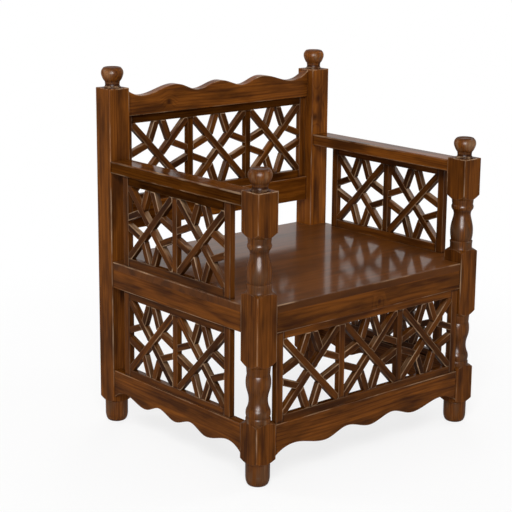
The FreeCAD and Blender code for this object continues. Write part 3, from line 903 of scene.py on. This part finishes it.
def post_shell(blocks, turnings, edge, centre, seed):
    """Post: a surface of angle and height along the path.

    The distance from the axis is the lesser of the turned radius and the square timber's distance, with
    the crease between them eased: the lesser less (ease - difference) squared over 4 ease. Crests are
    rubbed, glossy and pale with painted highlight, hollows are dark with painted shade, and the dish on top
    of the knob is dark with stain.
    """
    path, inset, row_wear_and_sheen = (rows[::-1] for rows in post_path(blocks, turnings, edge))
    angle, square, corner_wear_and_sheen = post_columns(edge)
    turned, height = path[:, :1], path[:, 1]
    timber = square[None] - inset[:, None]
    gap = np.abs(turned - timber)
    radius = np.minimum(turned, timber) - np.maximum(CREASE_EASE - gap, 0) ** 2 / (4 * CREASE_EASE)
    points = np.stack([radius * np.cos(angle), radius * np.sin(angle),
                       np.broadcast_to(path[:, 1:], radius.shape)], axis=2)
    around = np.roll(points, -1, axis=1) - np.roll(points, 1, axis=1)
    down = np.gradient(points, axis=0)
    normals = np.cross(down, around)
    normals /= np.maximum(np.linalg.norm(normals, axis=2, keepdims=True), 1e-12)

    # Looks by height, the rise being 0 at the foot of the knob and 1 on its top
    rise = 1 - (height.max() - height) / KNOB_HEIGHT
    looks = {key: np.where(rise > 0.05, *pair) for key, pair in TURNED_LOOKS.items()}
    bounded = np.minimum(turned[:, 0], HALF_SIDE)
    near = np.abs(height[:, None] - height) < CREST_REACH
    crest = np.where(near, bounded, 0).max(1)
    hollow = np.clip((crest - bounded) / HOLLOW_DEPTH, 0, 1) * HOLLOW_SHADE
    rub_and_sheen = looks["rub_and_sheen"] * (1 - hollow / HOLLOW_SHADE) ** 2
    # The first ring of the knob is rubbed most and drawn pale as a painted highlight
    rub_and_sheen[(rise > 0.001) & (rise < 0.09)] = 0.6
    hollow[(height > height.max() - 0.005) & (turned[:, 0] < 0.60 * HALF_SIDE)] = DISH_STAIN

    # Share of flat rather than turned wood, and the arris where they meet, rubbed a little and lit with a
    # painted highlight
    flat_share = np.clip((turned - timber) / 0.002, 0, 1)
    arris = np.clip(1 - gap / 0.0018, 0, 1) * 0.3
    wear = np.maximum.reduce([flat_share * corner_wear_and_sheen[None], arris, flat_share * row_wear_and_sheen[:, None],
                              (1 - flat_share) * rub_and_sheen[:, None]])
    shell = with_grain(grid_shell(points, normals, wear), (0, 0, 1), seed)
    # A post's ends are free, so no painted shade of a joint lies there
    shell["ends"][:, 1] += 1.0
    shell["tone"] *= (1 + (looks["tone"][:, None] - 1) * (1 - flat_share)).reshape(-1)
    # The front face is drawn paler, as painted light
    shell["tone"] *= 1 + (POST_FRONTS.get(seed, 1) - 1) * np.clip(-shell["normals"][:, 1], 0, 1)
    gloss = np.where(flat_share > 0.5, 0.0, looks["shine"][:, None] * (1 - hollow[:, None]))
    facing_up = np.clip(normals[..., 2], 0, 1) * looks["shine_up"][:, None]
    shell["level"] = np.maximum(gloss, facing_up).reshape(-1)
    # Hollows darkened as painted shade, and the knob's dish with stain
    shell["stain_and_shade"] = (1.2 * hollow[:, None] * (1 - flat_share)).reshape(-1)
    shell["points"] += (centre[0], centre[1], 0)
    return shell


class CHAIR_OT_turned_posts(bpy.types.Operator):
    """Add the four posts with their turned feet, stretches and knobs"""

    bl_idname = "chair.turned_posts"
    bl_label = "Posts"

    def execute(self, context):
        edge = context.scene.chair_joinery.post_edge
        for row, blocks, turnings in (("front", FRONT_BLOCKS, [LOWER_TURNING, UPPER_TURNING]),
                                      ("rear", REAR_BLOCKS, [])):
            for side in ("left", "right"):
                node = f"post_{row}_{side}"
                low, high = BOXES[node]
                shell = post_shell(blocks, turnings, edge, (low + high) / 2, node)
                make_piece("turned_" + node, [shell], "frame_wood", node)
        return {"FINISHED"}


def box_board(node, edge, band, view, grain, half_length=None, flush=False):
    """Straight board in the place of a node, drawn in the view in which its face shows.

    A half length leaves off the tenons. On a flush board the upper edges are nearly sharp.
    """
    ease = (1, 1, FLUSH_EASE, FLUSH_EASE) if flush else 1.0
    low, high = BOXES[node]
    axis = 0 if view == "across" else 1
    start, end = (low[axis], high[axis]) if half_length is None else (-half_length, half_length)
    outline = corner_outline(rectangle((start, low.z), (end, high.z)), edge * np.array(ease), band, 3, ease)
    return standing_board(outline, view, BOXES[node], edge, grain, node, band)


class CHAIR_OT_seat_rails(bpy.types.Operator):
    """Add the four straight rails under the seat"""

    bl_idname = "chair.seat_rails"
    bl_label = "Seat rails"

    def execute(self, context):
        sizes = context.scene.chair_joinery
        for side, view in VIEWS.items():
            node = "seat_rail_" + side
            shell = box_board(node, sizes.board_edge, sizes.wear_and_sheen_strip, view, (1, 0),
                              HALF_LENGTHS[view] + END_REACH, flush=True)
            make_piece("board_" + node, [shell], "frame_wood", node)
        return {"FINISHED"}


class CHAIR_OT_aprons(bpy.types.Operator):
    """Add the three aprons with a wavy lower edge"""

    bl_idname = "chair.aprons"
    bl_label = "Aprons"

    def execute(self, context):
        sizes = context.scene.chair_joinery
        edge, band = sizes.board_edge, sizes.wear_and_sheen_strip
        for side in ("front", "left", "right"):
            node = "apron_" + side
            view = VIEWS[side]
            extra = FRONT_APRON_EXTRA if side == "front" else 0.0
            turns = [-depth - extra for depth in APRON_DEPTHS]
            outline = wavy_outline(HALF_LENGTHS[view], APRON_PLACES, turns, BOXES[node][1].z, edge)
            shell = standing_board(outline, view, BOXES[node], edge, (1, 0), node, band)
            shell["wear"] *= WEAR_AND_SHEEN_SHARES["apron"]
            make_piece("wavy_" + node, [shell], "frame_wood", node)
        return {"FINISHED"}


class CHAIR_OT_seat(bpy.types.Operator):
    """Add the seat board, notched round the posts"""

    bl_idname = "chair.seat"
    bl_label = "Seat board"

    def execute(self, context):
        sizes = context.scene.chair_joinery
        low, high = BOXES["seat_board"]
        quarter = np.array([(INNER_X, high.y), (INNER_X, INNER_Y), (high.x, INNER_Y)])
        corners = np.concatenate([quarter[::-1], quarter * (-1, 1),
                                  quarter[::-1] * (-1, -1), quarter * (1, -1)])
        outline = corner_outline(corners, SEAT_CORNER, 0.0)
        shell = board_shell(outline, low.z, high.z, sizes.seat_edge, (1, 0), "seat_board",
                            sizes.wear_and_sheen_strip, SEAT_LOWER_EDGE, SEAT_SIDE_TONE)
        # The seat's ends are free, so no painted shade of a joint lies there
        shell["ends"][:, 1] += 1.0
        make_piece("lacquered_seat_board", [shell], "seat_wood", "seat_board")
        return {"FINISHED"}


class CHAIR_OT_arms(bpy.types.Operator):
    """Add the two flat arms with eased edges"""

    bl_idname = "chair.arms"
    bl_label = "Arms"

    def execute(self, context):
        sizes = context.scene.chair_joinery
        reach = INNER_Y + END_REACH
        for side, sides_tone in ARM_SIDES.items():
            node = "arm_" + side
            low, high = BOXES[node]
            outline = corner_outline(rectangle((low.x, low.z), (high.x, high.z)),
                                     sizes.arm_edge, sizes.wear_and_sheen_strip, 6)
            shell = board_shell(outline, -reach, reach, ARM_END_EDGE, (1, 0), node)
            # The outline is the arm's cross-section, so its grain runs through the thickness
            u, v, w = (shell["points"] - shell["points"].mean(0)).T
            shell["grain"] = np.stack([w, u, v], axis=1) + shell["grain"].mean(0)
            shell["ends"] = np.stack([w, np.full(len(w), reach), 0 * w], axis=1)
            shell = standing(shell, "across")
            # Upright sides drawn darker on the left arm and paler on the right than the top, as painted
            # shade and light
            upright = 1 - np.clip(shell["normals"][:, 2], 0, 1)
            shell["tone"] *= 1 + (sides_tone - 1) * upright
            shell["wear"] *= WEAR_AND_SHEEN_SHARES["arm"]
            make_piece("flat_" + node, [shell], "frame_wood", node)
        return {"FINISHED"}


class CHAIR_OT_back_rails(bpy.types.Operator):
    """Add the straight lower back rail and the wavy crown rail"""

    bl_idname = "chair.back_rails"
    bl_label = "Back rails"

    def execute(self, context):
        sizes = context.scene.chair_joinery
        edge, band = sizes.board_edge, sizes.wear_and_sheen_strip
        shell = box_board("back_rail_lower", edge, band, "across", (1, 0), INNER_X + END_REACH)
        shell["wear"] *= WEAR_AND_SHEEN_SHARES["back_rail_lower"]
        make_piece("straight_back_rail", [shell], "frame_wood", "back_rail_lower")
        box = BOXES["back_rail_upper"]
        outline = wavy_outline(INNER_X, CROWN_PLACES, CROWN_HEIGHTS, box[0].z, edge)
        shell = standing_board(outline, "across", box, edge, (1, 0), "back_rail_upper", band)
        make_piece("crown_rail", [shell], "frame_wood", "back_rail_upper")
        return {"FINISHED"}


class CHAIR_OT_panel_frames(bpy.types.Operator):
    """Add the stiles, strips and mullions of the six pierced panels"""

    bl_idname = "chair.panel_frames"
    bl_label = "Panel frames"

    def execute(self, context):
        sizes = context.scene.chair_joinery
        edge, band = sizes.panel_edge, sizes.wear_and_sheen_strip
        for panel, (view, *_) in PANELS.items():
            parts = [(part, (0, 1)) for part in UPRIGHTS[view]]
            parts += [("_strip_bottom", (1, 0)), ("_strip_top", (1, 0))]
            for part, grain in parts:
                shell = box_board(panel + part, edge, band, view, grain)
                # Frames darker, partly with stain and partly as painted shade of the recessed panels
                shell["tone"] *= FRAMING_TONE
                shell["wear"] *= WEAR_AND_SHEEN_SHARES["framing"]
                make_piece("framing_" + panel + part, [shell], "lattice_wood", panel + part)
        return {"FINISHED"}


def lattice_square(half_w, half_h, width):
    """Slats of one square, each (corners, direction of its grain): two diagonals and eight short bars.

    Every slat is the strip within half its width of a line, cut off by the sides of the opening and by
    the diagonals it meets. The falling diagonal is whole, the rising one has two lengths, and the short
    bars leave the diagonals 3/8 of the way to the corner.
    """
    half = width / 2
    length = math.hypot(half_w, half_h)
    falling = np.array([half_h, half_w]) / length
    rising = np.array([-half_h, half_w]) / length
    top, right = (0, 1, half_h), (1, 0, half_w)
    bottom, left = (0, -1, half_h), (-1, 0, half_w)
    slats = [(corners_between([(*falling, half), (*-falling, half), top, right, bottom, left]),
              (half_w, -half_h))]
    upper = corners_between([(*rising, half), (*-rising, half), (*-falling, -half), top, right])
    slats += [(upper, (half_w, half_h)), (-upper, (half_w, half_h))]
    fork = np.array([BAR_START * half_w, BAR_START * half_h])
    for end, cut, side in ((np.array([BAR_END_ACROSS, half_h]), (*-rising, -half), top),
                           (np.array([half_w, BAR_END_UP]), (*rising, -half), right)):
        along = (end - fork) / np.linalg.norm(end - fork)
        normal = np.array([-along[1], along[0]])
        centre = float(normal @ fork)
        bar = corners_between([(*normal, centre + half), (*-normal, half - centre), cut, side])
        for x, y in ((1, 1), (-1, 1), (-1, -1), (1, -1)):
            slats.append((bar[::x * y] * (x, y), along * (x, y)))
    return slats


class CHAIR_OT_lattice(bpy.types.Operator):
    """Add the slats of the six pierced panels"""

    bl_idname = "chair.lattice"
    bl_label = "Lattice slats"

    def execute(self, context):
        sizes = context.scene.chair_joinery
        edge, band = sizes.slat_edge, sizes.wear_and_sheen_strip * SLAT_STRIP
        for panel, (view, slat_tone, rub_and_sheen) in PANELS.items():
            axis = 0 if view == "across" else 1
            uprights = sorted(tuple(corner[axis] for corner in BOXES[panel + part])
                              for part in UPRIGHTS[view])
            low = BOXES[panel + "_strip_bottom"][1].z
            high = BOXES[panel + "_strip_top"][0].z
            shells = []
            for index, (before, after) in enumerate(zip(uprights, uprights[1:])):
                centre = np.array([(before[1] + after[0]) / 2, (low + high) / 2])
                square = lattice_square((after[0] - before[1]) / 2, (high - low) / 2, sizes.slat_width)
                for number, (corners, along) in enumerate(square):
                    outline = corner_outline(corners + centre, edge, 0.0, 2)
                    shell = standing_board(outline, view, BOXES[panel + "_slats"], edge, along,
                                           f"{panel} {index} {number}", band, SLAT_SIDE_TONE)
                    # Slats take their panel's tone, partly stain and partly painted shade; upward sides are
                    # drawn paler, as painted light, and get a painted sheen in the rubbed-edge colour
                    facing_up = np.clip(shell["normals"][:, 2], 0, 1)
                    shell["tone"] = shell["tone"] ** 2 * slat_tone * (1 + SLAT_UPWARD_PAINTED_LIGHT * facing_up)
                    shell["wear"] = np.maximum(shell["wear"], rub_and_sheen * facing_up)
                    shells.append(shell)
            make_piece("lattice_" + panel, shells, "lattice_wood", panel + "_slats")
        return {"FINISHED"}


class CHAIR_OT_studio(bpy.types.Operator):
    """Add the floor, the lamps, the even light all round and the camera"""

    bl_idname = "chair.studio"
    bl_label = "Studio"

    def execute(self, context):
        scene = context.scene
        studio = scene.chair_studio
        lines = np.linspace(-FLOOR_HALF, FLOOR_HALF, FLOOR_LINES)
        x, y = np.meshgrid(lines, lines)
        points = np.stack([x.ravel(), y.ravel(), np.zeros(x.size)], axis=1)
        point = np.arange(x.size).reshape(x.shape)
        faces = np.stack([point[:-1, :-1], point[:-1, 1:], point[1:, 1:], point[1:, :-1]], axis=-1)
        mesh = bpy.data.meshes.new("studio_floor")
        mesh.from_pydata(points.tolist(), [], faces.reshape(-1, 4).tolist())
        mesh.materials.append(studio_material("painted_floor", studio.floor_colour))
        floor = bpy.data.objects.new("studio_floor", mesh)
        scene.collection.objects.link(floor)

        for name, (place, width, height, watts, lights, shows) in LAMPS.items():
            lamp = bpy.data.lights.new(name, "AREA")
            lamp.shape = "ELLIPSE"
            lamp.size = width
            lamp.size_y = height
            lamp.energy = watts * studio.lamp_light
            holder = bpy.data.objects.new(name, lamp)
            scene.collection.objects.link(holder)
            holder.visible_diffuse = lights
            holder.visible_glossy = shows
            turn = (LAMP_AIM - Vector(place)).to_track_quat("-Z", "Y").to_matrix().to_4x4()
            holder.matrix_world = Matrix.Translation(place) @ turn

        # World: white for what the camera and the gloss see, an even fill for the rest
        world = bpy.data.worlds.new("studio_room")
        tree = empty_tree(world)
        fill = add_node(tree, "Background", {"Color": (1, 1, 1, 1), "Strength": studio.fill_light})
        white = add_node(tree, "Background", {"Color": (1, 1, 1, 1), "Strength": 1.0})
        mixed = add_node(tree, "MixShader", (seen_share(tree), fill, white))
        add_node(tree, "OutputWorld", {"Surface": mixed})
        scene.world = world

        turn, rise, roll = studio.camera_turn, studio.camera_rise, studio.camera_roll
        back = Vector((-math.sin(turn) * math.cos(rise), -math.cos(turn) * math.cos(rise), math.sin(rise)))
        right = Vector((math.cos(turn), -math.sin(turn), 0.0))
        up = back.cross(right)
        rolled_right = math.cos(roll) * right + math.sin(roll) * up
        rolled_up = math.cos(roll) * up - math.sin(roll) * right
        pose = Matrix((rolled_right, rolled_up, back)).transposed().to_4x4()
        lens = bpy.data.cameras.new("camera")
        lens.sensor_width = SENSOR_WIDTH
        lens.lens = studio.lens
        lens.shift_y = -SHIFT_DOWN / PHOTO_SIDE
        lens.clip_end = 200.0
        camera = bpy.data.objects.new("camera", lens)
        scene.collection.objects.link(camera)
        camera.matrix_world = Matrix.Translation(studio.camera_place) @ pose
        scene.camera = camera
        scene.view_settings.view_transform = "Standard"
        return {"FINISHED"}


class CHAIR_PT_pieces(bpy.types.Panel):
    """The chair's pieces, sizes and finish"""

    bl_idname = "CHAIR_PT_pieces"
    bl_label = "Lattice Armchair"
    bl_space_type = "VIEW_3D"
    bl_region_type = "UI"
    bl_category = "Armchair"

    def draw(self, context):
        layout = self.layout
        for group in ("chair_joinery", "chair_finish", "chair_studio"):
            settings = getattr(context.scene, group)
            column = layout.column()
            for name in settings.__annotations__:
                column.prop(settings, name)
        for step in STEPS:
            layout.operator(step.bl_idname)


STEPS = (
    CHAIR_OT_turned_posts,
    CHAIR_OT_seat_rails,
    CHAIR_OT_aprons,
    CHAIR_OT_seat,
    CHAIR_OT_arms,
    CHAIR_OT_back_rails,
    CHAIR_OT_panel_frames,
    CHAIR_OT_lattice,
    CHAIR_OT_studio,
)
CLASSES = (JoinerySizes, WoodFinish, StudioSettings, *STEPS, CHAIR_PT_pieces)


def register():
    for item in CLASSES:
        bpy.utils.register_class(item)
    bpy.types.Scene.chair_joinery = PointerProperty(type=JoinerySizes)
    bpy.types.Scene.chair_finish = PointerProperty(type=WoodFinish)
    bpy.types.Scene.chair_studio = PointerProperty(type=StudioSettings)


def unregister():
    del bpy.types.Scene.chair_joinery
    del bpy.types.Scene.chair_finish
    del bpy.types.Scene.chair_studio
    for item in reversed(CLASSES):
        bpy.utils.unregister_class(item)


def main():
    register()
    bpy.ops.chair.turned_posts()
    bpy.ops.chair.seat_rails()
    bpy.ops.chair.aprons()
    bpy.ops.chair.seat()
    bpy.ops.chair.arms()
    bpy.ops.chair.back_rails()
    bpy.ops.chair.panel_frames()
    bpy.ops.chair.lattice()
    bpy.ops.chair.studio()


if __name__ == "__main__":
    main()
